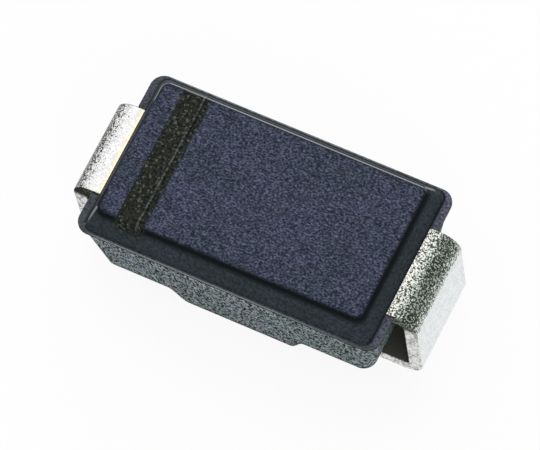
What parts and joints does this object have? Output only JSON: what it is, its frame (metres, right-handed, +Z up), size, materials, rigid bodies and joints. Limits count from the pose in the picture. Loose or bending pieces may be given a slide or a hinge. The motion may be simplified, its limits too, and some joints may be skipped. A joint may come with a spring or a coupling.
{
  "type": "zener diode",
  "caption": "Surface-mount zener diode in a dark moulded case with a cathode band, drafted walls, a stepped underside and flat plated leads bent under both ends as solder feet.",
  "frame": {"origin": "middle of the footprint on the board, where the undersides of both solder feet lie at Z = 0", "axes": "+X along the case from the banded cathode end to the anode end, +Y across the case, +Z up from the board"},
  "size_m": [0.005, 0.0024, 0.0021],
  "materials": {
    "moulding": "spark-eroded matte top and lower walls, smoother upper walls",
    "lead_plating": "matte tin plating, mottled at the bends",
    "silicon": "sawn and etched",
    "solder": "dull"
  },
  "bodies": {
    "root": {"case": "moulding", "cathode_lead": "lead_plating", "anode_lead": "lead_plating", "zener_chip": "silicon", "chip_solder": "solder", "contact_solder": "solder"}
  },
  "joints": []
}
